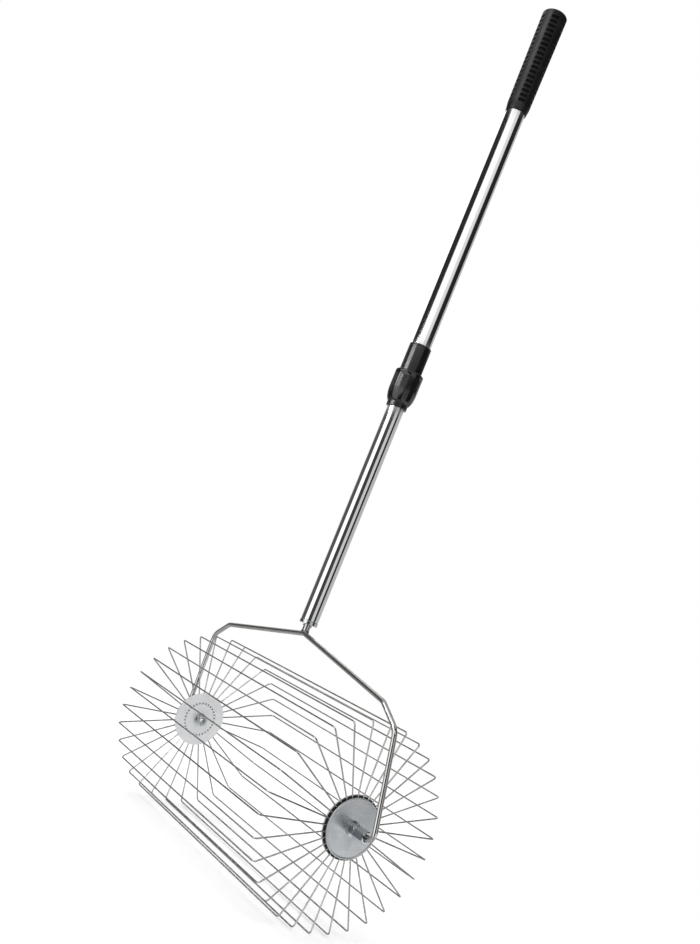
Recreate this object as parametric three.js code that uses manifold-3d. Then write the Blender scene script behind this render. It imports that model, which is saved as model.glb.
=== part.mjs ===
// Rolling wire-cage gatherer on a telescopic pole.
//
// A cage of thirty sprung wire loops rolls over the ground between two hub plates. It turns on two
// axle studs, which a bent rod yoke carries at the foot of a two-section pole with a twist lock.
//
// Frame: +Z is up along the pole, X is along the cage's axle, and Y runs from front to back. The
// origin is on the ground, straight under the middle of the cage. Lengths are in millimetres.
import * as THREE from "three";
import { mergeVertices } from "three/addons/utils/BufferGeometryUtils.js";
import Module from "manifold-3d";

const wasm = await Module();
wasm.setup();

// ---- Driving dimensions -------------------------------------------------------------------------

// Wire cage
const wireCount = 30;
const wireRadius = 0.9;
const cageRadius = 116.2; // axle to the long run of a wire, on the wire's centre line
const cageHalfLength = 201.8; // middle of the cage to the plane in which the spokes lie
const cageCornerBend = 4; // where a spoke turns into the long run
const hookBend = 1.5; // where the foot of a spoke turns in through the inner disc

// Hub plates
const hookRingRadius = 22; // circle of the holes that take the wires' hooked feet
const innerDiscRadius = 36;
const outerDiscRadius = 33.4;
const spacerRadius = 35.2;
const discThickness = 1.5;
const rimWidth = 2.4; // rolled rim of the outer disc
const rimHeight = 1;

// Axle hardware (M8)
const axleRadius = 4;
const bushWall = 1.7;
const bushFlangeWidth = 2.5;
const bushFlangeThickness = 1;
const nutAcrossFlats = 13;
const thinNutLength = 6;
const innerNutLength = 6.5;
const couplingNutLength = 18;
const couplingThreadDepth = 8; // how far the axle stud is screwed into the coupling nut
const axleTipShown = 1.5; // the stud's end, proud of the inner nut
const washerRadius = 8;
const washerThickness = 1.6;

// Yoke, in its leaning plane
const rodRadius = 3.1;
const yokeRake = THREE.MathUtils.degToRad(6.8); // lean of the yoke's plane towards the front
const armClearance = 20.4; // long run of a wire up to the upper shoulder bend
const armInset = 7.9; // spoke plane to the upper shoulder bend, inwards
const crownRise = 31.8; // upper shoulder bend up to the crown
const shoulderOutset = 26.6; // spoke plane to the lower shoulder bend, outwards
const shoulderDrop = 21.4; // upper shoulder bend down to the lower one
const footStraight = 2.2; // rod that shows between the coupling nut and the foot bend
const rodTipClearance = 1; // end of the rod to end of the axle stud, inside the coupling nut
const crownBend = 12;
const shoulderBend = 20;
const footBend = 10;

// Pole
const lowerTubeRadius = 11.1;
const tubeWall = 0.8;
const telescopeGap = 1.1; // between the two tubes
const lowerTubeLength = 557;
const lowerTubeShown = 289.4; // between the end plug's lip and the lock nut, as posed
const upperTubeShown = 343;
const studRadius = 5.6;
const studNeckLength = 8;
const spigotLength = 18;
const plugLipWidth = 0.4; // how far the end plug's lip stands out from the tube
const plugLipLength = 5;
const plugSpigotLength = 20;
const guideFlangeLength = 4;
const guideBoreRadius = 7;

// Twist lock
const lockNutWall = 3.7; // around the sleeve's thread
const lockNutLength = 49.1;
const lockNutCollarWall = 2.1; // around the lower tube
const lockNutCollarLength = 6;
const lockNutTaperLength = 19;
const lockNutShoulder = 2.5;
const fluteCount = 8;
const fluteRadius = 11;
const fluteDepth = 0.9;
const fluteTurn = THREE.MathUtils.degToRad(16); // first ridge, from the +X side
const sleeveWall = 1.3;
const sleeveShown = 37.4;
const sleeveThreadLength = 26; // the part of the sleeve that is inside the nut
const sleeveLedge = 3; // step that the upper tube's end rests on
const colletWall = 1.6;
const colletSlit = 2;

// Grip
const gripLength = 151.2;
const gripMouthWall = 0.9;
const gripTaperLength = 10; // from the mouth to the full grip
const gripFootWall = 2.1; // where the taper ends
const gripEndWall = 3.9;
const gripEndRound = 3.2;
const gripEndThickness = 6;

// Fits
const gap = 0.3; // between pieces that touch
const hookHoleClearance = 0.4; // hole wall to hooked foot
const slideClearance = 0.4; // lower tube to the bores that it slides through

// Facets
const roundFacets = 24;
const discFacets = 36;
const boreFacets = 16;
const wireFacets = 6;
const rodFacets = 8;

// ---- Places that follow from the dimensions -----------------------------------------------------

const axleHeight = cageRadius + wireRadius;
const discFace = wireRadius + gap; // spoke plane to the near face of either disc
const discBack = discFace + discThickness;
const axleBore = axleRadius + gap;
const bushRadius = axleBore + bushWall;
const bushFlangeRadius = bushRadius + bushFlangeWidth;
const bushFlangeStart = discBack + gap;
const washerStart = bushFlangeStart + bushFlangeThickness + gap;
const nutStart = washerStart + washerThickness + gap;
const couplingStart = nutStart + thinNutLength + gap;
const axleOuterEnd = couplingStart + couplingThreadDepth;
const couplingEnd = couplingStart + couplingNutLength;

const rodTip = cageHalfLength + axleOuterEnd + rodTipClearance;
const armHalfSpan = cageHalfLength - armInset;
const shoulderHalfSpan = cageHalfLength + shoulderOutset;
const legHalfSpan = cageHalfLength + couplingEnd + footStraight + footBend;
const armHeight = cageRadius + armClearance;
const shoulderHeight = armHeight - shoulderDrop;
const yokeHeight = armHeight + crownRise;

const poleY = -yokeHeight * Math.sin(yokeRake);
const studFoot = axleHeight + yokeHeight * Math.cos(yokeRake) + rodRadius + gap;
const plugLipFoot = studFoot + studNeckLength + gap;
const lowerTubeFoot = plugLipFoot + plugLipLength + gap;
const lowerTubeTop = lowerTubeFoot + lowerTubeLength;
const lockFoot = lowerTubeFoot + lowerTubeShown;
const lockNutTop = lockFoot + lockNutLength;
const sleeveFoot = lockNutTop - sleeveThreadLength;
const sleeveTop = lockNutTop + sleeveShown;
const upperTubeFoot = sleeveFoot + sleeveLedge + gap;
const gripFoot = sleeveTop + upperTubeShown;
const gripTop = gripFoot + gripLength;
const upperTubeTop = gripTop - gripEndThickness - gap;

const slideBore = lowerTubeRadius + slideClearance;
const lowerTubeBore = lowerTubeRadius - tubeWall;
const upperTubeBore = lowerTubeRadius + telescopeGap;
const upperTubeRadius = upperTubeBore + tubeWall;
const upperTubeSeat = upperTubeRadius + gap;
const sleeveRadius = upperTubeSeat + sleeveWall;
const lockThreadBore = sleeveRadius + gap;
const lockNutRadius = lockThreadBore + lockNutWall;
const lockNutCollarRadius = slideBore + lockNutCollarWall;

// ---- Materials ----------------------------------------------------------------------------------

const finish = (color, roughness, metalness) =>
  new THREE.MeshStandardMaterial({ color, roughness, metalness });
const polishedSteel = finish(0xd8d9da, 0.12, 1);
const wireSteel = finish(0xb9b8b4, 0.25, 1);
const zincPlate = finish(0xc4c8cc, 0.38, 1);
const zincHardware = finish(0xa9b0b4, 0.3, 1);
const blackPlastic = finish(0x0d0d0e, 0.25, 0);
const spacerPlastic = finish(0x0a0a0a, 0.6, 0);
const colletPlastic = finish(0xd9d6cc, 0.5, 0);
const blackRubber = finish(0x151515, 0.7, 0);

// ---- Shape helpers ------------------------------------------------------------------------------

// A closed geometry with shared vertices, whose faces point out.
function closed(geometry) {
  geometry.deleteAttribute("normal");
  geometry.deleteAttribute("uv");
  const merged = mergeVertices(geometry, 1e-4);
  const position = merged.attributes.position;
  const index = merged.index.array;
  const corner = [new THREE.Vector3(), new THREE.Vector3(), new THREE.Vector3()];
  let sixVolumes = 0;
  for (let i = 0; i < index.length; i += 3) {
    corner.forEach((point, k) => point.fromBufferAttribute(position, index[i + k]));
    sixVolumes += corner[0].dot(corner[1].cross(corner[2]));
  }
  if (sixVolumes < 0) {
    for (let i = 0; i < index.length; i += 3) {
      [index[i + 1], index[i + 2]] = [index[i + 2], index[i + 1]];
    }
  }
  return merged;
}

// A profile of [radius, height] points turned about +Z.
function turned(profile, facets = roundFacets) {
  const points = profile.map(([radius, height]) => new THREE.Vector2(radius, height));
  return closed(new THREE.LatheGeometry(points, facets).rotateX(Math.PI / 2));
}

// A ring between two radii and two heights.
function ring(innerRadius, outerRadius, foot, top, facets = roundFacets) {
  return turned(
    [
      [innerRadius, foot],
      [outerRadius, foot],
      [outerRadius, top],
      [innerRadius, top],
      [innerRadius, foot],
    ],
    facets,
  );
}

function circlePoints(radius, facets, x = 0, y = 0) {
  return Array.from({ length: facets }, (_, i) => {
    const angle = (2 * Math.PI * i) / facets;
    return new THREE.Vector2(x + radius * Math.cos(angle), y + radius * Math.sin(angle));
  });
}

// A flat outline with holes, extruded along +Z from foot to top.
function plate(outline, holes, foot, top) {
  const shape = new THREE.Shape(outline);
  shape.holes = holes.map((points) => new THREE.Path(points));
  const solid = new THREE.ExtrudeGeometry(shape, { depth: top - foot, bevelEnabled: false });
  return closed(solid.translate(0, 0, foot));
}

// A path through stations that are worked out beforehand, each one step from the next, so that a
// straight takes one step and a bend takes several.
class StationPath extends THREE.Curve {
  constructor(stations) {
    super();
    this.stations = stations;
  }
  getPoint(t, target = new THREE.Vector3()) {
    const place = t * (this.stations.length - 1);
    const before = Math.min(Math.max(Math.floor(place), 0), this.stations.length - 2);
    return target.lerpVectors(this.stations[before], this.stations[before + 1], place - before);
  }
  getUtoTmapping(u) {
    return u;
  }
}

// A round rod bent at each inner corner: corners are [x, y, z], and each bend is [radius, steps].
function bentRod(corners, bends, radius, facets) {
  const points = corners.map((corner) => new THREE.Vector3(...corner));
  const stations = [points[0]];
  bends.forEach(([bendRadius, bendSteps], i) => {
    const corner = points[i + 1];
    const along = corner.clone().sub(points[i]).normalize();
    const onward = points[i + 2].clone().sub(corner).normalize();
    const angle = along.angleTo(onward);
    const inward = onward.clone().addScaledVector(along, -along.dot(onward)).normalize();
    const start = corner.clone().addScaledVector(along, -bendRadius * Math.tan(angle / 2));
    for (let step = 0; step <= bendSteps; step++) {
      const turn = (angle * step) / bendSteps;
      stations.push(
        start
          .clone()
          .addScaledVector(along, bendRadius * Math.sin(turn))
          .addScaledVector(inward, bendRadius * (1 - Math.cos(turn))),
      );
    }
  });
  stations.push(points[points.length - 1]);
  const section = new THREE.Shape(circlePoints(radius, facets));
  const path = new StationPath(stations);
  return closed(
    new THREE.ExtrudeGeometry(section, { steps: stations.length - 1, extrudePath: path }),
  );
}

function toSolid(geometry) {
  return new wasm.Manifold(
    new wasm.Mesh({
      numProp: 3,
      vertProperties: geometry.attributes.position.array,
      triVerts: new Uint32Array(geometry.index.array),
    }),
  );
}

// The first geometry with the others cut out of it.
function cut(geometry, cutters) {
  const solid = cutters.reduce((left, cutter) => left.subtract(toSolid(cutter)), toSolid(geometry));
  const mesh = solid.getMesh();
  return new THREE.BufferGeometry()
    .setAttribute("position", new THREE.BufferAttribute(new Float32Array(mesh.vertProperties), 3))
    .setIndex(new THREE.BufferAttribute(new Uint32Array(mesh.triVerts), 1));
}

function piece(name, geometry, material) {
  const mesh = new THREE.Mesh(geometry, material);
  mesh.name = name;
  return mesh;
}

// ---- Wire cage ----------------------------------------------------------------------------------

// One loop in the XZ plane: hooked foot, spoke, long run, spoke, hooked foot.
function wireLoop() {
  const footTip = cageHalfLength - discBack + gap;
  const hook = [hookBend, 2];
  const cageCorner = [cageCornerBend, 3];
  return bentRod(
    [
      [-footTip, 0, hookRingRadius],
      [-cageHalfLength, 0, hookRingRadius],
      [-cageHalfLength, 0, cageRadius],
      [cageHalfLength, 0, cageRadius],
      [cageHalfLength, 0, hookRingRadius],
      [footTip, 0, hookRingRadius],
    ],
    [hook, cageCorner, cageCorner, hook],
    wireRadius,
    wireFacets,
  );
}

function wireCage() {
  const cage = new THREE.Group();
  cage.position.z = axleHeight;
  for (let i = 0; i < wireCount; i++) {
    const wire = piece(`wire_${String(i + 1).padStart(2, "0")}`, wireLoop(), wireSteel);
    wire.rotation.x = (2 * Math.PI * i) / wireCount;
    cage.add(wire);
  }
  return cage;
}

// ---- Hubs, along +Z outwards from the plane of the spokes ---------------------------------------

function innerDisc() {
  const hookHoles = Array.from({ length: wireCount }, (_, i) => {
    const angle = (2 * Math.PI * i) / wireCount;
    return circlePoints(
      wireRadius + hookHoleClearance,
      wireFacets,
      hookRingRadius * Math.cos(angle),
      hookRingRadius * Math.sin(angle),
    );
  });
  const bore = circlePoints(bushRadius + gap, boreFacets);
  const outline = circlePoints(innerDiscRadius, discFacets);
  return plate(outline, [bore, ...hookHoles], -discBack, -discFace);
}

function outerDisc() {
  const rimRoot = outerDiscRadius - rimWidth;
  return turned(
    [
      [bushRadius + gap, discFace],
      [outerDiscRadius, discFace],
      [outerDiscRadius, discBack],
      [outerDiscRadius - 0.25 * rimWidth, discBack + 0.8 * rimHeight],
      [outerDiscRadius - 0.5 * rimWidth, discBack + rimHeight],
      [outerDiscRadius - 0.75 * rimWidth, discBack + 0.8 * rimHeight],
      [rimRoot, discBack],
      [bushRadius + gap, discBack],
      [bushRadius + gap, discFace],
    ],
    discFacets,
  );
}

// A flat comb ring: each wire's spoke lies in one of its slots.
function wireSpacer() {
  const halfSlot = wireRadius + gap;
  const slotFloor = hookRingRadius - wireRadius - 2 * gap;
  const outline = [];
  for (let i = 0; i < wireCount; i++) {
    const angle = (2 * Math.PI * i) / wireCount;
    const across = new THREE.Vector2(-Math.sin(angle), Math.cos(angle)).multiplyScalar(halfSlot);
    const out = new THREE.Vector2(Math.cos(angle), Math.sin(angle));
    const mouth = Math.sqrt(spacerRadius ** 2 - halfSlot ** 2);
    outline.push(
      out.clone().multiplyScalar(mouth).sub(across),
      out.clone().multiplyScalar(slotFloor).sub(across),
      out.clone().multiplyScalar(slotFloor).add(across),
      out.clone().multiplyScalar(mouth).add(across),
    );
  }
  return plate(outline, [circlePoints(bushRadius + gap, boreFacets)], -wireRadius, wireRadius);
}

// A sleeve swaged over both discs, which holds them together and turns on the axle stud.
function hubBush() {
  const flangeEnd = bushFlangeStart + bushFlangeThickness;
  return turned(
    [
      [axleBore, -flangeEnd],
      [bushFlangeRadius, -flangeEnd],
      [bushFlangeRadius, -bushFlangeStart],
      [bushRadius, -bushFlangeStart],
      [bushRadius, bushFlangeStart],
      [bushFlangeRadius, bushFlangeStart],
      [bushFlangeRadius, flangeEnd],
      [axleBore, flangeEnd],
      [axleBore, -flangeEnd],
    ],
    boreFacets,
  );
}

function axleStud() {
  const innerEnd = -(nutStart + innerNutLength + axleTipShown);
  return turned(
    [
      [0, innerEnd],
      [axleRadius - 0.7, innerEnd],
      [axleRadius, innerEnd + 0.7],
      [axleRadius, axleOuterEnd],
      [0, axleOuterEnd],
    ],
    boreFacets,
  );
}

function hexagon() {
  return circlePoints(nutAcrossFlats / 2 / Math.cos(Math.PI / 6), 6);
}

function hexNut(foot, length) {
  return plate(hexagon(), [circlePoints(axleBore, boreFacets)], foot, foot + length);
}

// Screwed onto the axle stud; the yoke rod's end is fixed in the rest of its bore.
function couplingNut() {
  const bored = (radius, foot, top) => ring(0, radius, foot, top, boreFacets);
  return cut(plate(hexagon(), [], couplingStart, couplingEnd), [
    bored(axleBore, couplingStart - 1, axleOuterEnd + gap),
    bored(rodRadius + gap, axleOuterEnd, couplingEnd + 1),
  ]);
}

function hub(side, end) {
  const group = new THREE.Group();
  group.position.set(end * cageHalfLength, 0, axleHeight);
  group.rotation.y = (end * Math.PI) / 2;
  const washer = (start) =>
    ring(axleBore, washerRadius, start, start + washerThickness, boreFacets);
  group.add(
    piece(`inner_disc_${side}`, innerDisc(), zincPlate),
    piece(`outer_disc_${side}`, outerDisc(), zincPlate),
    piece(`wire_spacer_${side}`, wireSpacer(), spacerPlastic),
    piece(`hub_bush_${side}`, hubBush(), zincHardware),
    piece(`axle_stud_${side}`, axleStud(), zincHardware),
    piece(`inner_washer_${side}`, washer(-washerStart - washerThickness), zincHardware),
    piece(`inner_nut_${side}`, hexNut(-nutStart - innerNutLength, innerNutLength), zincHardware),
    piece(`outer_washer_${side}`, washer(washerStart), zincHardware),
    piece(`thin_nut_${side}`, hexNut(nutStart, thinNutLength), zincHardware),
    piece(`coupling_nut_${side}`, couplingNut(), zincHardware),
  );
  return group;
}

// ---- Yoke ---------------------------------------------------------------------------------------

// One rod: its ends sit in the coupling nuts, and its crown carries the stud.
function yokeRod() {
  const rightHalf = [
    [armHalfSpan, 0, armHeight],
    [shoulderHalfSpan, 0, shoulderHeight],
    [legHalfSpan, 0, 0],
    [rodTip, 0, 0],
  ];
  const foot = [footBend, 4];
  const shoulder = [shoulderBend, 3];
  const leftHalf = rightHalf.map(([x, y, z]) => [-x, y, z]).reverse();
  const rod = bentRod(
    [...leftHalf, [0, 0, yokeHeight], ...rightHalf],
    [foot, shoulder, shoulder, [crownBend, 2], shoulder, shoulder, foot],
    rodRadius,
    rodFacets,
  );
  const mesh = piece("yoke_rod", rod, polishedSteel);
  mesh.position.z = axleHeight;
  mesh.rotation.x = yokeRake;
  return mesh;
}

// Welded on the crown of the rod; its threaded spigot screws up into the pole's end plug.
function yokeStud() {
  const neckTop = studFoot + studNeckLength;
  return turned(
    [
      [0, studFoot],
      [studRadius, studFoot],
      [studRadius, neckTop],
      [axleRadius, neckTop],
      [axleRadius, neckTop + spigotLength],
      [0, neckTop + spigotLength],
    ],
    boreFacets,
  );
}

// ---- Pole ---------------------------------------------------------------------------------------

function endPlug() {
  const lip = lowerTubeRadius + plugLipWidth;
  const lipTop = plugLipFoot + plugLipLength;
  const spigotRadius = lowerTubeBore - gap;
  return turned([
    [axleBore, plugLipFoot],
    [lip, plugLipFoot],
    [lip, lipTop],
    [spigotRadius, lipTop],
    [spigotRadius, lipTop + plugSpigotLength],
    [axleBore, lipTop + plugSpigotLength],
    [axleBore, plugLipFoot],
  ]);
}

// Centres the top of the lower tube inside the upper one.
function guidePlug() {
  const flangeFoot = lowerTubeTop + gap;
  const spigotRadius = lowerTubeBore - gap;
  return turned([
    [guideBoreRadius, flangeFoot - spigotLength],
    [spigotRadius, flangeFoot - spigotLength],
    [spigotRadius, flangeFoot],
    [upperTubeBore - gap, flangeFoot],
    [upperTubeBore - gap, flangeFoot + guideFlangeLength],
    [guideBoreRadius, flangeFoot + guideFlangeLength],
    [guideBoreRadius, flangeFoot - spigotLength],
  ]);
}

// ---- Twist lock ---------------------------------------------------------------------------------

function lockSleeve() {
  const ledgeTop = sleeveFoot + sleeveLedge;
  return turned([
    [slideBore, sleeveFoot],
    [sleeveRadius, sleeveFoot],
    [sleeveRadius, sleeveTop - 1],
    [sleeveRadius - 0.4, sleeveTop],
    [upperTubeSeat, sleeveTop],
    [upperTubeSeat, ledgeTop],
    [slideBore, ledgeTop],
    [slideBore, sleeveFoot],
  ]);
}

// The nut's cone starts above its collar and opens to the thread bore at the sleeve's foot.
const coneFoot = lockFoot + lockNutCollarLength;
const coneTop = sleeveFoot - gap;
const coneSlope = (lockThreadBore - slideBore) / (coneTop - coneFoot);

// A split ring, which the nut's cone squeezes onto the lower tube.
function lockCollet() {
  const top = coneTop - gap;
  const foot = coneFoot + colletWall / coneSlope;
  const coneRadius = (height) => slideBore + coneSlope * (height - coneFoot) - gap;
  const body = turned([
    [slideBore, foot],
    [coneRadius(foot), foot],
    [coneRadius(top), top],
    [slideBore, top],
    [slideBore, foot],
  ]);
  const slit = new THREE.BoxGeometry(colletSlit, 2 * sleeveRadius, 2 * (top - foot));
  slit.translate(0, sleeveRadius, (foot + top) / 2);
  return cut(body, [closed(slit)]);
}

function lockNut() {
  const taperTop = coneFoot + lockNutTaperLength;
  const rise = lockNutRadius - lockNutCollarRadius;
  const body = turned(
    [
      [slideBore, lockFoot],
      [lockNutCollarRadius, lockFoot],
      [lockNutCollarRadius, coneFoot],
      [lockNutCollarRadius + 0.25 * rise, coneFoot + 0.12 * lockNutTaperLength],
      [lockNutCollarRadius + 0.6 * rise, coneFoot + 0.38 * lockNutTaperLength],
      [lockNutCollarRadius + 0.87 * rise, coneFoot + 0.68 * lockNutTaperLength],
      [lockNutRadius, taperTop],
      [lockNutRadius, lockNutTop - lockNutShoulder],
      [lockNutRadius - 0.4 * lockNutShoulder, lockNutTop],
      [lockThreadBore, lockNutTop],
      [lockThreadBore, coneTop],
      [slideBore, coneFoot],
      [slideBore, lockFoot],
    ],
    discFacets,
  );
  const flutes = Array.from({ length: fluteCount }, (_, i) => {
    const angle = (2 * Math.PI * (i + 0.5)) / fluteCount + fluteTurn;
    const reach = lockNutRadius + fluteRadius - fluteDepth;
    const flute = new THREE.CylinderGeometry(fluteRadius, fluteRadius, lockNutLength, boreFacets);
    flute.rotateX(Math.PI / 2);
    flute.translate(reach * Math.cos(angle), reach * Math.sin(angle), taperTop);
    return closed(flute);
  });
  return cut(body, flutes);
}

// ---- Grip ---------------------------------------------------------------------------------------

function grip() {
  const roundSteps = 4;
  const endRadius = upperTubeSeat + gripEndWall;
  const endRound = Array.from({ length: roundSteps + 1 }, (_, i) => {
    const angle = (Math.PI * i) / (2 * roundSteps);
    return [
      endRadius - gripEndRound * (1 - Math.cos(angle)),
      gripTop - gripEndRound * (1 - Math.sin(angle)),
    ];
  });
  return turned([
    [0, upperTubeTop + gap],
    [upperTubeSeat, upperTubeTop + gap],
    [upperTubeSeat, gripFoot],
    [upperTubeSeat + gripMouthWall, gripFoot],
    [upperTubeSeat + gripFootWall, gripFoot + gripTaperLength],
    ...endRound,
    [0, gripTop],
  ]);
}

function pole() {
  const group = new THREE.Group();
  group.position.y = poleY;
  const lowerTube = ring(lowerTubeBore, lowerTubeRadius, lowerTubeFoot, lowerTubeTop);
  const upperTube = ring(upperTubeBore, upperTubeRadius, upperTubeFoot, upperTubeTop);
  group.add(
    piece("yoke_stud", yokeStud(), polishedSteel),
    piece("end_plug", endPlug(), zincHardware),
    piece("lower_tube", lowerTube, polishedSteel),
    piece("guide_plug", guidePlug(), colletPlastic),
    piece("lock_nut", lockNut(), blackPlastic),
    piece("lock_collet", lockCollet(), colletPlastic),
    piece("lock_sleeve", lockSleeve(), blackPlastic),
    piece("upper_tube", upperTube, polishedSteel),
    piece("grip", grip(), blackRubber),
  );
  return group;
}

// ---- Assembly -----------------------------------------------------------------------------------

const gatherer = new THREE.Group();
gatherer.add(wireCage(), hub("left", -1), hub("right", 1), yokeRod(), pole());

export default gatherer;
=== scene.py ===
# %% [markdown]
# # A rolling wire-cage gatherer, piece by piece
#
# The tool is a cage of thirty springy wire loops that rolls between two hub plates. A bent rod yoke
# carries it at the foot of a telescopic steel pole with a black twist lock and a rubber grip.
#
# The imported CAD model gives the fixed frame: every piece below is made where its CAD solid already
# is, in metres, so nothing has to be fitted by eye. This first cell loads that frame.

from math import atan2, cos, degrees, pi, radians, sin, sqrt, tan

import bmesh
import bpy
from mathutils import Matrix, Vector, noise


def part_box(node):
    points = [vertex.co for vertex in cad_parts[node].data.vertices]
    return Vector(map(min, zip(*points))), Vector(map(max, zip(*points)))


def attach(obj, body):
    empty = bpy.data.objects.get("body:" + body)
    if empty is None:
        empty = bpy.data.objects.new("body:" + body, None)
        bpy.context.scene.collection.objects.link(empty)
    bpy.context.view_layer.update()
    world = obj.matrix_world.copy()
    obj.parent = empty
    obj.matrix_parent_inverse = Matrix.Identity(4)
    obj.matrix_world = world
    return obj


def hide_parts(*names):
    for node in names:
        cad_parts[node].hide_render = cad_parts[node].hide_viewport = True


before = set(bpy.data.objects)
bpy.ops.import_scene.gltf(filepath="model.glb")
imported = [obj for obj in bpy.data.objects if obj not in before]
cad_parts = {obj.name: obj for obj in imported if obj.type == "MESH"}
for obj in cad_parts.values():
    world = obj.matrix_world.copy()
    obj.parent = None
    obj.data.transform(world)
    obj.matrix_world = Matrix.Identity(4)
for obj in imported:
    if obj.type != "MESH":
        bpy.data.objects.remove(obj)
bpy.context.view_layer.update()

# %% [markdown]
# ## Places
#
# All positions come from the boxes of the CAD nodes. The axle's height is the middle of a hub disc,
# and the pole's line is the middle of its tube. One millimetre is a handy unit for the small sizes.

# %% Read the places from the frame
MM = 0.001


def middle(node):
    low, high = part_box(node)
    return (low + high) / 2


def size(node):
    low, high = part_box(node)
    return high - low


AXLE = Vector((0, 0, middle("outer_disc_right").z))
POLE = Vector((0, middle("lower_tube").y, 0))
WIRE_RADIUS = 0.9 * MM
SPOKE_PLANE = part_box("wire_01")[1].x - WIRE_RADIUS
CAGE_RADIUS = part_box("wire_01")[1].z - AXLE.z - WIRE_RADIUS
print(f"axle at {AXLE.z / MM:.1f} mm, cage radius {CAGE_RADIUS / MM:.1f} mm")
print(f"pole line at y = {POLE.y / MM:.1f} mm, spokes at x = ±{SPOKE_PLANE / MM:.1f} mm")

# %% [markdown]
# ## Camera
#
# The tool is seen from its right and a little from the front, with the lens close to the cage and
# low, so that the cage looms and the pole shrinks away upwards. The camera is also rolled, which
# makes the upright pole run across the picture. Azimuth, elevation and roll are turned into a
# matrix one after the other: a camera looks along its own -Z, and its own +Y is up.

# %% Place the camera
CAMERA_AZIMUTH = radians(58.7)
CAMERA_ELEVATION = radians(-7.53)
CAMERA_ROLL = radians(22.25)

camera = bpy.data.objects.new("camera", bpy.data.cameras.new("camera"))
bpy.context.scene.collection.objects.link(camera)
camera.data.sensor_width = 36
camera.data.lens = 40.66
camera.data.clip_start = 0.02
camera.data.clip_end = 60
camera.matrix_world = (
    Matrix.Translation((1.1288, -0.7335, 0.3158))
    @ Matrix.Rotation(CAMERA_AZIMUTH, 4, "Z")
    @ Matrix.Rotation(pi / 2 - CAMERA_ELEVATION, 4, "X")
    @ Matrix.Rotation(CAMERA_ROLL, 4, "Z")
)
bpy.context.scene.camera = camera
print("camera looks along", [round(-part, 3) for part in camera.matrix_world.col[2][:3]])

# %% [markdown]
# ## Floor and background
#
# A plain pale floor lies under the cage. If it ended in a horizon, that line would cut the picture
# at a slant, so its colour fades away with distance from the middle and the white background takes
# over. The fade is a round gradient that mixes the matt floor with full transparency. The floor
# stays out of reflections, because there the steel shows the cards that the next cell hangs.

# %% Lay the floor
scene = bpy.context.scene
scene.view_settings.view_transform = "Standard"
scene.view_settings.look = "None"


def new_object(name, bm):
    mesh = bpy.data.meshes.new(name)
    bm.to_mesh(mesh)
    bm.free()
    made = bpy.data.objects.new(name, mesh)
    scene.collection.objects.link(made)
    return made


def new_material(name):
    material = bpy.data.materials.new(name)
    material.use_nodes = True
    tree = material.node_tree
    tree.nodes.clear()
    output = tree.nodes.new("ShaderNodeOutputMaterial")
    return material, tree, output


FLOOR_RADIUS = 1.9
FADE_END = 0.72  # share of the way in from the floor's edge at which it is solid

floor_shape = bmesh.new()
bmesh.ops.create_circle(floor_shape, cap_ends=True, segments=96, radius=FLOOR_RADIUS)
floor = new_object("floor", floor_shape)

floor_paint, tree, output = new_material("pale_floor")
place = tree.nodes.new("ShaderNodeTexCoord")
shrink = tree.nodes.new("ShaderNodeMapping")
shrink.inputs["Scale"].default_value = [1 / FLOOR_RADIUS] * 3
gradient = tree.nodes.new("ShaderNodeTexGradient")
gradient.gradient_type = "SPHERICAL"
fade = tree.nodes.new("ShaderNodeValToRGB")
fade.color_ramp.interpolation = "EASE"
fade.color_ramp.elements[0].position = 0.0
fade.color_ramp.elements[1].position = FADE_END
matt = tree.nodes.new("ShaderNodeBsdfDiffuse")
matt.inputs["Color"].default_value = (0.93, 0.93, 0.93, 1)
clear = tree.nodes.new("ShaderNodeBsdfTransparent")
mix = tree.nodes.new("ShaderNodeMixShader")
tree.links.new(place.outputs["Object"], shrink.inputs["Vector"])
tree.links.new(shrink.outputs["Vector"], gradient.inputs["Vector"])
tree.links.new(gradient.outputs["Fac"], fade.inputs["Fac"])
tree.links.new(fade.outputs["Color"], mix.inputs["Fac"])
tree.links.new(clear.outputs["BSDF"], mix.inputs[1])
tree.links.new(matt.outputs["BSDF"], mix.inputs[2])
tree.links.new(mix.outputs["Shader"], output.inputs["Surface"])
floor.data.materials.append(floor_paint)
floor.visible_glossy = False
print(f"floor: a disc of {FLOOR_RADIUS} m radius that fades into the background")

# %% [markdown]
# ## Light
#
# Polished steel shows hardly anything of its own: it shows the room. On a round tube the whole room
# is squeezed into upright bands, and dark bands beside white ones are what makes it read as steel.
# So the studio is built as a ring of curved cards round the pole: a bright key to the camera's
# left, white and grey fills in front, and black flags between them.
#
# The ring has five levels. The camera is low, so it sees each stretch of the pole reflect another
# height of the ring: the lower tube shows the low cards, the twist lock those above, and so on up
# to the grip. The hub discs mostly show the ground level. Black plastic and rubber give back only a
# small part of what steel does, so the keys for the lock and for the grip are the brightest.
#
# A card's place is given by the angles it spans, measured round the pole from the camera's
# direction towards the camera's right. The cards only appear in reflections.
#
# The world behind them is white to the camera, half as bright in reflections, and nearly white as
# the light that falls on every surface. A broad lamp overhead, which reflections don't show, gives
# the floor its soft shadow.

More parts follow.
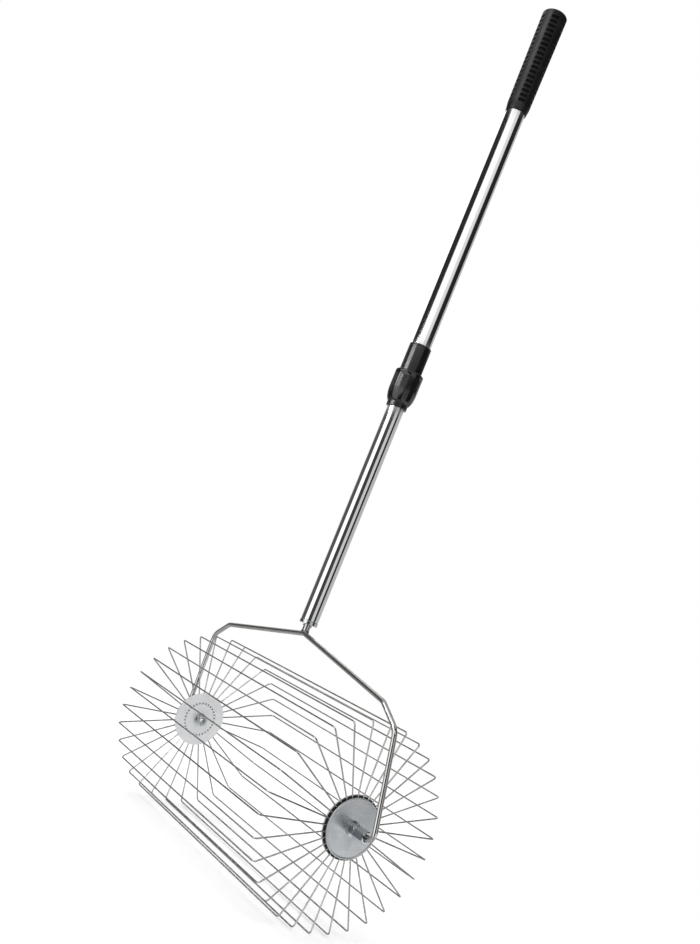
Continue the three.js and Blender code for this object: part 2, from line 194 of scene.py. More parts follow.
# %% Hang the cards and the lamp
CARD_RING = 2.2
CARD_STEP = 4  # degrees of the ring to each facet of a card
AMBIENT, REFLECTED, BEHIND = 0.95, 0.5, 1.0  # the world's strength for each kind of ray
LEVELS = {
    # name: (foot, top, {card: (from angle, to angle, brightness)})
    "ground": (
        -1.2,
        -0.14,
        {
            "left_fill": (-142, -74, 0.34),
            "key": (-70, -26, 1.35),
            "camera_shadow": (-24, 17, 0.05),
            "disc_fill": (20, 110, 0.95),
        },
    ),
    "low": (
        -0.13,
        1.03,
        {
            "left_flag": (-142, -74, 0.09),
            "key": (-70, -26, 1.35),
            "camera_shadow": (-24, 17, 0.05),
            "front_fill": (20, 51, 0.62),
            "right_flag": (53, 80, 0.02),
        },
    ),
    "lock": (
        1.04,
        1.26,
        {
            "left_flag": (-142, -86, 0.3),
            "key": (-84, -46, 8.5),
            "front_fill": (-42, 32, 0.32),
            "right_flag": (35, 142, 0.01),
        },
    ),
    "middle": (
        1.27,
        2.2,
        {
            "left_flag": (-144, -58, 0.025),
            "key": (-54, 12, 1.15),
            "front_fill": (14, 41, 0.8),
            "right_flag": (47, 110, 0.02),
            "back_strip": (160, 208, 1.6),
        },
    ),
    "grip": (
        2.21,
        3.2,
        {
            "left_flag": (-150, -76, 0.95),
            "key": (-74, -36, 3.6),
            "front_shadow": (-30, 44, 0.03),
            "right_flag": (46, 152, 0.02),
        },
    ),
}

world = bpy.data.worlds.new("studio")
world.use_nodes = True
scene.world = world
tree = world.node_tree
backdrop = tree.nodes["Background"]
backdrop.inputs["Color"].default_value = (1, 1, 1, 1)
backdrop.inputs["Strength"].default_value = AMBIENT
ray = tree.nodes.new("ShaderNodeLightPath")


def world_for(ray_kind, strength, otherwise):
    """A world that one kind of ray sees at its own strength."""
    seen = tree.nodes.new("ShaderNodeBackground")
    seen.inputs["Color"].default_value = (1, 1, 1, 1)
    seen.inputs["Strength"].default_value = strength
    choose = tree.nodes.new("ShaderNodeMixShader")
    tree.links.new(ray.outputs[ray_kind], choose.inputs["Fac"])
    tree.links.new(otherwise, choose.inputs[1])
    tree.links.new(seen.outputs["Background"], choose.inputs[2])
    return choose.outputs["Shader"]


for_mirrors = world_for("Is Glossy Ray", REFLECTED, backdrop.outputs["Background"])
for_camera = world_for("Is Camera Ray", BEHIND, for_mirrors)
tree.links.new(for_camera, tree.nodes["World Output"].inputs["Surface"])


def hang_card(name, from_angle, to_angle, foot, top, brightness):
    """A card curved round the pole, seen only in reflections."""
    start = CAMERA_AZIMUTH - pi / 2 + radians(from_angle)
    edge = Vector((CARD_RING * cos(start), CARD_RING * sin(start), 0)) + POLE
    bm = bmesh.new()
    low = bm.verts.new(edge + Vector((0, 0, foot)))
    high = bm.verts.new(edge + Vector((0, 0, top)))
    upright = bm.edges.new((low, high))
    bmesh.ops.spin(
        bm,
        geom=[upright],
        cent=POLE,
        axis=(0, 0, 1),
        angle=radians(to_angle - from_angle),
        steps=round((to_angle - from_angle) / CARD_STEP),
    )
    card = new_object(name, bm)
    paint, tree, output = new_material(name)
    glow = tree.nodes.new("ShaderNodeEmission")
    glow.inputs["Strength"].default_value = brightness
    tree.links.new(glow.outputs["Emission"], output.inputs["Surface"])
    card.data.materials.append(paint)
    card.visible_camera = False
    card.visible_diffuse = False
    card.visible_shadow = False
    card.visible_transmission = False


card_count = 0
for level, (foot, top, cards) in LEVELS.items():
    for card, (from_angle, to_angle, brightness) in cards.items():
        hang_card(f"{level}_{card}", from_angle, to_angle, foot, top, brightness)
        card_count += 1

lamp = bpy.data.objects.new("overhead_lamp", bpy.data.lights.new("overhead_lamp", "AREA"))
lamp.data.shape = "DISK"
lamp.data.size = 3.0
lamp.data.energy = 30
lamp.location = (-0.3, -0.5, 2.6)
lamp.rotation_euler = (Vector((0, 0, 0.1)) - lamp.location).to_track_quat("-Z", "Y").to_euler()
lamp.visible_glossy = False
lamp.visible_camera = False
scene.collection.objects.link(lamp)
print(f"{card_count} cards hang round the pole, and one lamp overhead")

# %% [markdown]
# ## Finishes
#
# Each finish is one physically based shader with nodes for what varies over the surface. Three
# things vary: the colour, by a noise through a colour ramp; the roughness, by a second noise; and
# the relief, by a third one through a bump. All of them read Object coordinates, so a pattern stays
# with its piece. What is the same everywhere, such as metalness, is set on the shader itself.
#
# `stretch` squeezes the noise along one axis, which turns grains into the long fine lines of drawn
# or polished metal.

# %% A helper for the finishes
def noise_node(tree, place, scale, detail=4.0, stretch=(1, 1, 1)):
    mapping = tree.nodes.new("ShaderNodeMapping")
    mapping.inputs["Scale"].default_value = stretch
    grain = tree.nodes.new("ShaderNodeTexNoise")
    grain.inputs["Scale"].default_value = scale
    grain.inputs["Detail"].default_value = detail
    tree.links.new(place.outputs["Object"], mapping.inputs["Vector"])
    tree.links.new(mapping.outputs["Vector"], grain.inputs["Vector"])
    return grain


def finish(
    name,
    dark,
    light,
    colour_scale,
    smooth,
    rough,
    rough_scale,
    relief_scale,
    relief_strength,
    relief_depth=0.05 * MM,
    metal=0.0,
    stretch=(1, 1, 1),
    specular=0.5,
):
    """A shader whose colour runs from dark to light and whose roughness from smooth to rough."""
    material, tree, output = new_material(name)
    shader = tree.nodes.new("ShaderNodeBsdfPrincipled")
    shader.inputs["Metallic"].default_value = metal
    shader.inputs["Specular IOR Level"].default_value = specular
    place = tree.nodes.new("ShaderNodeTexCoord")

    tint = tree.nodes.new("ShaderNodeValToRGB")
    tint.color_ramp.elements[0].position = 0.3
    tint.color_ramp.elements[0].color = (*dark, 1)
    tint.color_ramp.elements[1].position = 0.7
    tint.color_ramp.elements[1].color = (*light, 1)
    tree.links.new(noise_node(tree, place, colour_scale).outputs["Fac"], tint.inputs["Fac"])
    tree.links.new(tint.outputs["Color"], shader.inputs["Base Color"])

    wear = tree.nodes.new("ShaderNodeMapRange")
    wear.inputs["From Min"].default_value = 0.3
    wear.inputs["From Max"].default_value = 0.7
    wear.inputs["To Min"].default_value = smooth
    wear.inputs["To Max"].default_value = rough
    patches = noise_node(tree, place, rough_scale, 6.0, stretch)
    tree.links.new(patches.outputs["Fac"], wear.inputs["Value"])
    tree.links.new(wear.outputs["Result"], shader.inputs["Roughness"])

    bump = tree.nodes.new("ShaderNodeBump")
    bump.inputs["Strength"].default_value = relief_strength
    bump.inputs["Distance"].default_value = relief_depth
    marks = noise_node(tree, place, relief_scale, 3.0, stretch)
    tree.links.new(marks.outputs["Fac"], bump.inputs["Height"])
    tree.links.new(bump.outputs["Normal"], shader.inputs["Normal"])

    tree.links.new(shader.outputs["BSDF"], output.inputs["Surface"])
    print("finish:", name)
    return material


# %% [markdown]
# The pole's tubes are polished stainless steel, with faint lines along the tube from the polishing
# belt. The yoke rod is polished too, but it is a greyer steel, and it bends, so its marks have no
# direction. The cage's spring wire is rougher, because drawing leaves a grey skin that changes along
# the wire. The weld is dull, and browned by its heat.

# %% The steels
polished_tube = finish(
    "polished_tube",
    dark=(0.86, 0.86, 0.855),
    light=(0.93, 0.93, 0.925),
    colour_scale=9,
    smooth=0.05,
    rough=0.09,
    rough_scale=260,
    relief_scale=900,
    relief_strength=0.03,
    relief_depth=0.01 * MM,
    metal=1.0,
    stretch=(1, 1, 0.004),
)
polished_rod = finish(
    "polished_rod",
    dark=(0.56, 0.555, 0.54),
    light=(0.68, 0.675, 0.66),
    colour_scale=40,
    smooth=0.05,
    rough=0.11,
    rough_scale=220,
    relief_scale=800,
    relief_strength=0.015,
    relief_depth=0.01 * MM,
    metal=1.0,
)
drawn_wire = finish(
    "drawn_wire",
    dark=(0.40, 0.395, 0.385),
    light=(0.66, 0.65, 0.64),
    colour_scale=45,
    smooth=0.16,
    rough=0.34,
    rough_scale=160,
    relief_scale=1500,
    relief_strength=0.12,
    relief_depth=0.01 * MM,
    metal=1.0,
)
weld_steel = finish(
    "weld_steel",
    dark=(0.10, 0.085, 0.075),
    light=(0.36, 0.35, 0.37),
    colour_scale=420,
    smooth=0.30,
    rough=0.55,
    rough_scale=600,
    relief_scale=900,
    relief_strength=0.5,
    relief_depth=0.08 * MM,
    metal=1.0,
)

# %% [markdown]
# The hub plates are stamped sheet with a satin zinc coat, pale and faintly cloudy. The outer plates
# went through a press, which burnished their coat, so they are darker and more of a mirror. The
# nuts, washers and studs have a brighter zinc, bluer and patchy from the passivation bath.

# %% The zinc coats
zinc_sheet = finish(
    "zinc_sheet",
    dark=(0.80, 0.82, 0.84),
    light=(0.89, 0.90, 0.91),
    colour_scale=45,
    smooth=0.30,
    rough=0.42,
    rough_scale=130,
    relief_scale=700,
    relief_strength=0.15,
    relief_depth=0.02 * MM,
    metal=0.45,
)
pressed_zinc = finish(
    "pressed_zinc",
    dark=(0.50, 0.525, 0.55),
    light=(0.68, 0.70, 0.715),
    colour_scale=38,
    smooth=0.22,
    rough=0.36,
    rough_scale=90,
    relief_scale=700,
    relief_strength=0.12,
    relief_depth=0.02 * MM,
    metal=0.8,
)
zinc_hardware = finish(
    "zinc_hardware",
    dark=(0.60, 0.63, 0.65),
    light=(0.74, 0.77, 0.79),
    colour_scale=120,
    smooth=0.12,
    rough=0.20,
    rough_scale=200,
    relief_scale=1400,
    relief_strength=0.05,
    relief_depth=0.02 * MM,
    metal=1.0,
)

# %% [markdown]
# The plastics: the lock is gloss black with the faint waviness of a moulded part, the comb rings
# are matt black, and the collet and guide inside the pole are natural nylon. The grip is soft
# rubber, with a fine matt grain and slightly greyer where it has been handled. The floors of its
# slots are a rougher, less shiny rubber. Their colour is also darker than the grip's, as painted
# shade for the shade that falls into the sunk slots.

# %% The plastics and the rubber
gloss_black = finish(
    "gloss_black",
    dark=(0.0025, 0.0025, 0.003),
    light=(0.005, 0.005, 0.006),
    colour_scale=40,
    smooth=0.13,
    rough=0.21,
    rough_scale=120,
    relief_scale=500,
    relief_strength=0.06,
    relief_depth=0.03 * MM,
    specular=0.8,
)
matt_black = finish(
    "matt_black",
    dark=(0.006, 0.006, 0.006),
    light=(0.014, 0.014, 0.014),
    colour_scale=150,
    smooth=0.45,
    rough=0.65,
    rough_scale=300,
    relief_scale=1600,
    relief_strength=0.25,
    relief_depth=0.03 * MM,
    specular=0.3,
)
# Painted shade: this colour is darker than the grip's rubber and stands for the shade in the sunk
# slots. The higher roughness and lower specular are the rubber's own.
rough_slot_rubber_painted_shade = finish(
    "rough_slot_rubber_painted_shade",
    dark=(0.0012, 0.0012, 0.0012),
    light=(0.003, 0.003, 0.003),
    colour_scale=90,
    smooth=0.65,
    rough=0.85,
    rough_scale=300,
    relief_scale=1800,
    relief_strength=0.4,
    relief_depth=0.05 * MM,
    specular=0.12,
)
natural_nylon = finish(
    "natural_nylon",
    dark=(0.62, 0.60, 0.53),
    light=(0.78, 0.76, 0.70),
    colour_scale=80,
    smooth=0.35,
    rough=0.5,
    rough_scale=150,
    relief_scale=900,
    relief_strength=0.15,
    relief_depth=0.03 * MM,
)
soft_rubber = finish(
    "soft_rubber",
    dark=(0.003, 0.003, 0.003),
    light=(0.008, 0.008, 0.0078),
    colour_scale=55,
    smooth=0.27,
    rough=0.40,
    rough_scale=90,
    relief_scale=2200,
    relief_strength=0.35,
    relief_depth=0.05 * MM,
    specular=0.4,
)

# %% [markdown]
# ## Helpers for the shapes
#
# Nearly every piece of this tool is either a profile turned on a lathe, a rod bent at its corners,
# or a hexagon bar cut to length. Each of the three gets one helper, made of bmesh operators.
#
# `settle` finishes a piece: it merges doubles, turns all faces outwards, gives it its finish and
# its smooth shading, and lets it ride on a CAD body in the place of the CAD solid it stands for.
#
# Smooth shading alone would let a rounded rim tilt the shading of the long straight face beside it,
# which bends every reflection on a polished tube. The Weighted Normal modifier lets the large faces
# decide, so flats shade flat and tubes shade straight.

# %% Finish a piece and hand it to the frame
def settle(name, bm, material, body, node=None, sharp=32):
    bmesh.ops.remove_doubles(bm, verts=bm.verts, dist=0.002 * MM)
    bmesh.ops.recalc_face_normals(bm, faces=bm.faces)
    piece = new_object(name, bm)
    piece.data.materials.append(material)
    piece.data.shade_smooth()
    piece.data.set_sharp_from_angle(angle=radians(sharp))
    weights = piece.modifiers.new("even_shading", "WEIGHTED_NORMAL")
    weights.keep_sharp = True
    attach(piece, body)
    if node:
        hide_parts(node)
    return piece


# %% Turn a profile on a lathe
def turned(profile, steps=64, loop=True, edge_round=0.0, segments=2):
    """Spins [radius, height] points, in metres, about +Z. A looped profile is a ring."""
    bm = bmesh.new()
    points = [bm.verts.new((radius, 0, height)) for radius, height in profile]
    pairs = list(zip(points, points[1:]))
    if loop:
        pairs.append((points[-1], points[0]))
    edges = [bm.edges.new(pair) for pair in pairs]
    bmesh.ops.spin(
        bm,
        geom=points + edges,
        cent=(0, 0, 0),
        axis=(0, 0, 1),
        angle=2 * pi,
        steps=steps,
        use_merge=True,
    )
    bmesh.ops.remove_doubles(bm, verts=bm.verts, dist=0.002 * MM)
    bmesh.ops.recalc_face_normals(bm, faces=bm.faces)
    if edge_round:
        soften(bm, edge_round, segments)
    return bm


def soften(bm, width, segments=2, angle=40):
    """Rounds every edge that turns by more than the angle."""
    corners = [e for e in bm.edges if e.is_manifold and e.calc_face_angle() > radians(angle)]
    bmesh.ops.bevel(
        bm,
        geom=corners,
        affect="EDGES",
        offset=width,
        segments=segments,
        profile=0.5,
        material=-1,
        clamp_overlap=True,
    )


def moved(bm, matrix):
    """The same shape, moved or turned by the matrix."""
    bmesh.ops.transform(bm, matrix=matrix, verts=bm.verts)
    return bm


# %% Bend a rod
def edges_of(parts):
    return [part for part in parts if isinstance(part, bmesh.types.BMEdge)]


def draw_on(bm, rim, by):
    """Draws a rim of edges on along a straight, and returns its new rim."""
    drawn = bmesh.ops.extrude_edge_only(bm, edges=rim)["geom"]
    ring = [part for part in drawn if isinstance(part, bmesh.types.BMVert)]
    bmesh.ops.translate(bm, verts=ring, vec=by)
    return [edge for edge in edges_of(drawn) if all(vert in ring for vert in edge.verts)]


def bent_rod(corners, bend_radii, radius, facets, steps):
    """A round rod that runs from corner to corner and is bent at each inner one."""
    corners = [Vector(corner) for corner in corners]
    along = (corners[1] - corners[0]).normalized()
    bm = bmesh.new()
    bmesh.ops.create_circle(
        bm,
        cap_ends=False,
        segments=facets,
        radius=radius,
        matrix=Matrix.Translation(corners[0]) @ along.to_track_quat("Z", "Y").to_matrix().to_4x4(),
    )
    first = rim = list(bm.edges)
    reached = corners[0]
    for corner, onward_to, bend_radius in zip(corners[1:-1], corners[2:], bend_radii):
        along = (corner - reached).normalized()
        onward = (onward_to - corner).normalized()
        angle = along.angle(onward)
        cut_back = bend_radius * tan(angle / 2)
        axis = along.cross(onward).normalized()
        bend_start = corner - along * cut_back
        rim = draw_on(bm, rim, bend_start - reached)
        bent = bmesh.ops.spin(
            bm,
            geom=rim,
            cent=bend_start + axis.cross(along) * bend_radius,
            axis=axis,
            angle=angle,
            steps=steps,
        )
        rim = edges_of(bent["geom_last"])
        reached = corner + onward * cut_back
    last = draw_on(bm, rim, corners[-1] - reached)
    bmesh.ops.edgeloop_fill(bm, edges=first)
    bmesh.ops.edgeloop_fill(bm, edges=last)
    return bm


# %% Cut one shape with another
def carved(body, tool, operation="DIFFERENCE"):
    """The body cut by the tool, or what both share. Both bmeshes are used up."""
    block, cutter = new_object("block", body), new_object("cutter", tool)
    cut = block.modifiers.new("cut", "BOOLEAN")
    cut.operation = operation
    cut.solver = "EXACT"
    cut.object = cutter
    bpy.context.view_layer.update()
    result = bmesh.new()
    result.from_object(block, bpy.context.evaluated_depsgraph_get())
    for used in (block, cutter):
        bpy.data.objects.remove(used)
    return result


# %% [markdown]
# ## The wire cage
#
# Each of the thirty loops is one springy wire: a hooked foot, a spoke, the long run beside the next
# wires, a second spoke and a second foot. The gaps between the long runs take in what the cage
# rolls over. A curve with a bevel could make the wire, but a rim of edges that is drawn along each
# straight and spun through each bend keeps every bend a true arc.

# %% Bend the thirty wires
inner_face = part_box("inner_disc_right")[0].x
foot_tip = inner_face + 0.3 * MM
hook_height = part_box("wire_01")[0].z - AXLE.z + WIRE_RADIUS

loop_corners = [
    (-foot_tip, 0, hook_height),
    (-SPOKE_PLANE, 0, hook_height),
    (-SPOKE_PLANE, 0, CAGE_RADIUS),
    (SPOKE_PLANE, 0, CAGE_RADIUS),
    (SPOKE_PLANE, 0, hook_height),
    (foot_tip, 0, hook_height),
]
WIRE_COUNT = 30
HOOK_BEND = 1.5 * MM
CAGE_BEND = 4 * MM
loop_bends = [HOOK_BEND, CAGE_BEND, CAGE_BEND, HOOK_BEND]
for i in range(WIRE_COUNT):
    wire = bent_rod(loop_corners, loop_bends, WIRE_RADIUS, facets=10, steps=8)
    moved(wire, Matrix.Translation(AXLE) @ Matrix.Rotation(2 * pi * i / WIRE_COUNT, 4, "X"))
    name = f"wire_{i + 1:02d}"
    settle("bent_" + name, wire, drawn_wire, "cage", name)
print(f"{WIRE_COUNT} wires, hooks at a radius of {hook_height / MM:.1f} mm")

# %% [markdown]
# ## The hubs
#
# A hub is a sandwich that turns as one: an inner disc with a ring of holes for the wires' hooked
# feet, a black comb ring that keeps the spokes apart, and an outer disc with a rolled rim. A bush
# holds the sandwich together and turns on the axle stud. Washers and nuts hold the stud, and the
# long coupling nut outside joins it to the yoke rod.
#
# Every hub piece is made once along +Z, which stands for outwards from the spokes, and laid over to
# the left or the right.

# %% Turn a hub piece to its side
SIDES = {"left": -1, "right": 1}


def hub_place(end):
    return Matrix.Translation((end * SPOKE_PLANE, 0, AXLE.z)) @ Matrix.Rotation(end * pi / 2, 4, "Y")


def out_from_spokes(node):
    """Where a right-hand hub node starts and ends, outwards from the plane of the spokes."""
    low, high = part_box(node)
    return low.x - SPOKE_PLANE, high.x - SPOKE_PLANE


# %% [markdown]
# The inner disc is a flat ring. Its thirty holes are punched with a boolean, as the real ones are
# with a die: one punch is a short cylinder, copied round the circle.

# %% Punch the inner discs
def punches(radius, ring_radius, foot, top):
    bm = bmesh.new()
    for i in range(WIRE_COUNT):
        angle = 2 * pi * i / WIRE_COUNT
        bmesh.ops.create_cone(
            bm,
            cap_ends=True,
            segments=16,
            radius1=radius,
            radius2=radius,
            depth=top - foot,
            matrix=Matrix.Translation(
                (ring_radius * cos(angle), ring_radius * sin(angle), (foot + top) / 2)
            ),
        )
    return bm


BUSH_RADIUS = 6.0 * MM
HOOK_HOLE_RADIUS = WIRE_RADIUS + 0.45 * MM
OVERSHOOT = 1 * MM  # how far a cutter reaches past what it cuts
bush_seat = BUSH_RADIUS + 0.3 * MM
foot, top = out_from_spokes("inner_disc_right")
disc_radius = size("inner_disc_right").z / 2
for side, end in SIDES.items():
    disc = turned(
        [(bush_seat, foot), (disc_radius, foot), (disc_radius, top), (bush_seat, top)],
        steps=120,
        edge_round=0.35 * MM,
        segments=3,
    )
    holes = punches(HOOK_HOLE_RADIUS, hook_height, foot - OVERSHOOT, top + OVERSHOOT)
    disc = moved(carved(disc, holes), hub_place(end))
    settle(f"punched_disc_{side}", disc, zinc_sheet, "cage", f"inner_disc_{side}")
print("inner discs punched, radius", round(disc_radius / MM, 1), "mm")

# %% [markdown]
# The outer disc is pressed: its edge is rolled into a bead that stands proud of a flat face. That is
# only a profile, so the lathe makes the whole disc.

# %% Press the outer discs
foot, top_of_bead = out_from_spokes("outer_disc_right")
disc_radius = size("outer_disc_right").z / 2
SHEET = 1.5 * MM
BEAD_HALF = 1.2 * MM
bead_height = top_of_bead - foot - SHEET
bead_middle = disc_radius - BEAD_HALF
BEAD_STEPS = 12
face = foot + SHEET
bead = [
    (
        bead_middle + BEAD_HALF * cos(pi * i / BEAD_STEPS),
        face + bead_height * sin(pi * i / BEAD_STEPS),
    )
    for i in range(BEAD_STEPS + 1)
]
outer_profile = [
    (bush_seat, foot),
    (disc_radius - 0.3 * MM, foot),
    (disc_radius, foot + 0.3 * MM),
    *bead,
    (disc_radius - 2 * BEAD_HALF - 0.5 * MM, face),
    (bush_seat, face),
]
for side, end in SIDES.items():
    disc = moved(turned(outer_profile, steps=120), hub_place(end))
    settle(f"pressed_disc_{side}", disc, pressed_zinc, "cage", f"outer_disc_{side}")
print("outer discs pressed, bead", round(bead_height / MM, 1), "mm proud")

# %% [markdown]
# The comb ring is a black moulding between the discs, with one slot for each spoke. Its teeth stand
# about two millimetres beyond the outer disc, as a row of black dashes between the bright wires.
# The slots are cut out of a plain ring, and its edges are rounded afterwards.

# %% Slot the comb rings
foot, top = out_from_spokes("wire_spacer_right")
comb_radius = 35.2 * MM
slot_half = WIRE_RADIUS + 0.3 * MM
slot_floor = hook_height - WIRE_RADIUS - 0.6 * MM


def slot_cutters():
    bm = bmesh.new()
    reach = comb_radius + 3 * OVERSHOOT - slot_floor
    for i in range(WIRE_COUNT):
        bmesh.ops.create_cube(
            bm,
            size=1,
            matrix=Matrix.Rotation(2 * pi * i / WIRE_COUNT, 4, "Z")
            @ Matrix.Translation((slot_floor + reach / 2, 0, (foot + top) / 2))
            @ Matrix.Diagonal((reach, 2 * slot_half, 3 * (top - foot), 1)),
        )
    return bm


for side, end in SIDES.items():
    comb = turned(
        [(bush_seat, foot), (comb_radius, foot), (comb_radius, top), (bush_seat, top)], steps=120
    )
    comb = carved(comb, slot_cutters())
    bmesh.ops.remove_doubles(comb, verts=comb.verts, dist=0.01 * MM)
    soften(comb, 0.2 * MM, 2)
    moved(comb, hub_place(end))
    settle(f"comb_{side}", comb, matt_black, "cage", f"wire_spacer_{side}")
print("comb rings with", WIRE_COUNT, "slots each")

# %% [markdown]
# The bush is a short sleeve with a flange swaged over each disc. The axle stud is a length of
# threaded rod: its thread is a row of sharp rings, which at a pitch of 1.25 mm looks the same as a
# true helix and stays a closed shape. Its ends are chamfered, and the inner one is drilled.

# %% Turn the bushes and the studs
THREAD_PITCH = 1.25 * MM
THREAD_DEPTH = 0.55 * MM
AXLE_RADIUS = 4 * MM
STUD_BORE = AXLE_RADIUS + 0.3 * MM
DRILL_DEPTH = 4.5 * MM
DRILL_SHARE = 0.66  # of the stud's radius, for the hole drilled in its end


def threaded(radius, foot, top, chamfer=0.8 * MM):
    """A profile from a drilled end out along a thread and back to the axis."""
    root = radius - THREAD_DEPTH
    hole = DRILL_SHARE * radius
    profile = [(0, foot + DRILL_DEPTH + 1.5 * MM), (hole, foot + DRILL_DEPTH), (hole, foot)]
    profile += [(root, foot), (radius - 0.1 * MM, foot + chamfer)]
    turns = int((top - foot - 2 * chamfer) / THREAD_PITCH)
    for i in range(turns):
        start = foot + chamfer + i * THREAD_PITCH
        profile += [(radius, start + 0.15 * THREAD_PITCH), (root, start + 0.55 * THREAD_PITCH)]
        profile += [(root, start + 0.65 * THREAD_PITCH), (radius, start + 1.0 * THREAD_PITCH)]
    profile += [(radius, top - chamfer), (root, top), (0, top)]
    return profile


bush_foot, bush_top = out_from_spokes("hub_bush_right")
flange = size("hub_bush_right").z / 2
FLANGE_THICKNESS = 1 * MM
stud_foot, stud_top = out_from_spokes("axle_stud_right")
for side, end in SIDES.items():
    bush = turned(
        [
            (STUD_BORE, bush_foot),
            (flange, bush_foot),
            (flange, bush_foot + FLANGE_THICKNESS),
            (BUSH_RADIUS, bush_foot + FLANGE_THICKNESS),
            (BUSH_RADIUS, bush_top - FLANGE_THICKNESS),
            (flange, bush_top - FLANGE_THICKNESS),
            (flange, bush_top),
            (STUD_BORE, bush_top),
        ],
        edge_round=0.25 * MM,
    )
    moved(bush, hub_place(end))
    settle(f"swaged_bush_{side}", bush, zinc_hardware, "cage", f"hub_bush_{side}")
    stud = turned(threaded(AXLE_RADIUS, stud_foot, stud_top), steps=40, loop=False)
    moved(stud, hub_place(end))
    settle(
        f"threaded_stud_{side}", stud, zinc_hardware, "pole_lower", f"axle_stud_{side}"
    )
print(f"studs of {2 * AXLE_RADIUS / MM:.0f} mm, {(stud_top - stud_foot) / MM:.1f} mm long")

# %% [markdown]
# A nut is a hexagon bar whose corners are turned away at 30 degrees, which leaves the round arcs on
# its flats. Two tools make it as in the workshop: the bar is kept only where it lies inside a
# chamfered blank, and then it is bored, with a countersink at each mouth.
#
# The coupling nut's inner end is opened up to take the axle stud. Every nut is turned by 30 degrees
# before it is laid over, because the new bar starts with a corner where the CAD nut has a flat.

# %% Make the nuts
ACROSS_FLATS = 13 * MM
FACE_RADIUS = 0.47 * ACROSS_FLATS  # the round face that the chamfer leaves on each end


def drilled(radius, foot, top, mouth, thread):
    """A drill with a countersink at both ends, and optionally the crests of a thread between."""
    sink = mouth - radius
    start, end = foot - OVERSHOOT, top + OVERSHOOT
    profile = [(0, start), (mouth, start), (mouth, foot), (radius, foot + sink)]
    if thread:
        turns = int((top - foot - 2 * sink) / THREAD_PITCH)
        for i in range(turns):
            turn = foot + sink + i * THREAD_PITCH
            profile += [(radius, turn), (radius - 0.25 * MM, turn + 0.5 * THREAD_PITCH)]
    profile += [(radius, top - sink), (mouth, top), (mouth, end), (0, end)]
    return turned(profile, steps=40, loop=False)


def hex_nut(foot, top, bore, mouth, thread):
    corner = ACROSS_FLATS / 2 / cos(pi / 6)
    drop = (corner - FACE_RADIUS) * tan(radians(30))
    bar = bmesh.new()
    bmesh.ops.create_cone(
        bar,
        cap_ends=True,
        segments=6,
        radius1=corner,
        radius2=corner,
        depth=top - foot,
        matrix=Matrix.Translation((0, 0, (foot + top) / 2)),
    )
    blank = turned(
        [
            (0, foot),
            (FACE_RADIUS, foot),
            (corner + 0.01 * MM, foot + drop),
            (corner + 0.01 * MM, top - drop),
            (FACE_RADIUS, top),
            (0, top),
        ],
        steps=96,
        loop=False,
    )
    nut = carved(bar, blank, "INTERSECT")
    return carved(nut, drilled(bore, foot, top, mouth, thread))


nuts = {
    # node: (bore radius, radius of the countersink's mouth, thread shown in the bore)
    "inner_nut": (STUD_BORE, 4.7 * MM, False),
    "thin_nut": (STUD_BORE, 4.7 * MM, False),
    "coupling_nut": (3.4 * MM, 4.6 * MM, True),
}
for side, end in SIDES.items():
    for node, (bore, mouth, thread) in nuts.items():
        foot, top = out_from_spokes(node + "_right")
        nut = hex_nut(foot, top, bore, mouth, thread)
        if node == "coupling_nut":
            start, depth = foot - OVERSHOOT, stud_top + 0.3 * MM
            socket = [(0, start), (STUD_BORE, start), (STUD_BORE, depth), (0, depth)]
            nut = carved(nut, turned(socket, steps=40, loop=False))
        moved(nut, hub_place(end) @ Matrix.Rotation(radians(30), 4, "Z"))
        settle(
            f"hex_{node}_{side}", nut, zinc_hardware, "pole_lower", f"{node}_{side}", 25
        )
print(len(SIDES) * len(nuts), "nuts,", round(ACROSS_FLATS / MM), "mm across flats")

# %% [markdown]
# Washers are punched from sheet, and tumbled before they are coated, so every edge is a little
# rounded.

# %% Turn the washers
washer_radius = size("outer_washer_right").z / 2
for side, end in SIDES.items():
    for node in ("inner_washer", "outer_washer"):
        foot, top = out_from_spokes(node + "_right")
        washer = turned(
            [(STUD_BORE, foot), (washer_radius, foot), (washer_radius, top), (STUD_BORE, top)],
            edge_round=0.3 * MM,
        )
        moved(washer, hub_place(end))
        settle(
            f"round_{node}_{side}",
            washer,
            zinc_hardware,
            "pole_lower",
            f"{node}_{side}",
        )
print("4 washers of radius", round(washer_radius / MM, 1), "mm")

# %% [markdown]
# ## The yoke
#
# One polished rod makes the whole yoke. It starts inside one coupling nut, turns up a leg, slopes
# in over two shoulder bends to a crown under the pole, and runs down the other side in mirror
# image. It lies in one plane, which leans towards the front, because the pole stands in front of
# the axle. The corners are given in that plane, and the lean is found from where the pole is.

# %% Bend the yoke rod
ROD_RADIUS = 3.1 * MM
rod_low, rod_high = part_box("yoke_rod")
crown_rise = rod_high.z - ROD_RADIUS - AXLE.z
yoke_lean = atan2(-POLE.y, crown_rise)
yoke_height = sqrt(POLE.y**2 + crown_rise**2)
ROD_END_GAP = 1 * MM  # between the rod's end and the axle stud, inside the coupling nut
LEG_OUTSET = 42.7 * MM  # from the plane of the spokes out to the leg
SHOULDER_OUTSET, SHOULDER_DROP = 26.6 * MM, 1.0 * MM  # lower shoulder, from the cage's corner
ARM_INSET, ARM_RISE = 7.9 * MM, 20.4 * MM  # upper shoulder, from the cage's corner
FOOT_BEND, SHOULDER_BEND, CROWN_BEND = 10 * MM, 20 * MM, 12 * MM
half = [
    (SPOKE_PLANE - ARM_INSET, 0, CAGE_RADIUS + ARM_RISE),
    (SPOKE_PLANE + SHOULDER_OUTSET, 0, CAGE_RADIUS - SHOULDER_DROP),
    (SPOKE_PLANE + LEG_OUTSET, 0, 0),
    (SPOKE_PLANE + stud_top + ROD_END_GAP, 0, 0),
]
mirror_half = [(-x, y, z) for x, y, z in reversed(half)]
half_bends = [SHOULDER_BEND, SHOULDER_BEND, FOOT_BEND]
